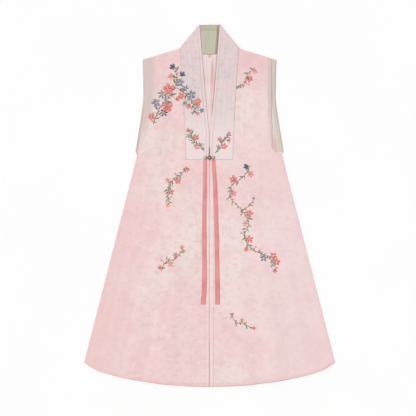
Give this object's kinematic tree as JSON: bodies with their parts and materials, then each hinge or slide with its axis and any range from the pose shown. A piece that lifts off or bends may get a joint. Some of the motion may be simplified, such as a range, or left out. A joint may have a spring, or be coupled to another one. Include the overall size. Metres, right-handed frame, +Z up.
{
  "type": "hanfu robe",
  "caption": "Sleeveless open-front hanfu robe of light silk, laid flat face up, with a long overlaid collar band folded behind the neck, a small metal clasp and hanging ribbon ties.",
  "frame": {"origin": "middle of the garment's outline, on the plane that it lies on", "axes": "+Y towards the collar, +X towards the wearer's left side, +Z up, away from the plane and out of the garment's front"},
  "size_m": [0.7894, 1.142, 0.0107],
  "materials": {
    "pink_silk": "matt tone-on-tone silk blend, printed and embroidered",
    "collar_silk": "soft satin, pressed",
    "sage_lining": "plain lining satin",
    "tab_tape": "plain woven tape",
    "coral_ribbon": "satin ribbon with cut ends",
    "antique_brass": "darkened, worn bright on the high parts"
  },
  "bodies": {
    "root": {"back": "pink_silk", "front_right": "pink_silk", "front_left": "pink_silk", "collar": "collar_silk", "collar_facing": "sage_lining", "armhole_facing_right": "sage_lining", "armhole_facing_left": "sage_lining", "neck_tab": "tab_tape", "ribbon_right": "coral_ribbon", "ribbon_left": "coral_ribbon", "clasp_eye": "antique_brass", "clasp_ball": "antique_brass"}
  },
  "joints": []
}
